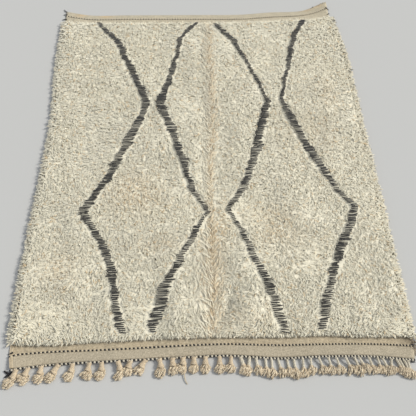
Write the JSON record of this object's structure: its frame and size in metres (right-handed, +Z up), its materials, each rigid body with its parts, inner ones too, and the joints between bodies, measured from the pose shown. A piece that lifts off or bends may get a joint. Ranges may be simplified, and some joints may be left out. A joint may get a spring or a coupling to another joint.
{
  "type": "shag rug",
  "caption": "Rectangular wool rug with a deep cream shag pile, charcoal zigzag lines, flat woven end bands with twined cords, and a knotted tassel fringe along one end.",
  "frame": {"origin": "on the floor, under the middle of the rug's box", "axes": "+X across the rug to the right, +Y along it from the fringed near end to the plain far end, +Z up out of the floor"},
  "size_m": [1.6164, 2.1218, 0.0327],
  "materials": {
    "ground_weave": "flat-woven undyed wool, matte",
    "pile": "knotted undyed wool pile, matte, with charcoal zigzag lines",
    "twined_cord": "black and white wool, twined",
    "fringe": "knotted wool warp ends, matte"
  },
  "bodies": {
    "root": {"ground_weave": "ground_weave", "pile": "pile", "near_twined_cord": "twined_cord", "far_twined_cord": "twined_cord", "near_fringe": "fringe"}
  },
  "joints": []
}
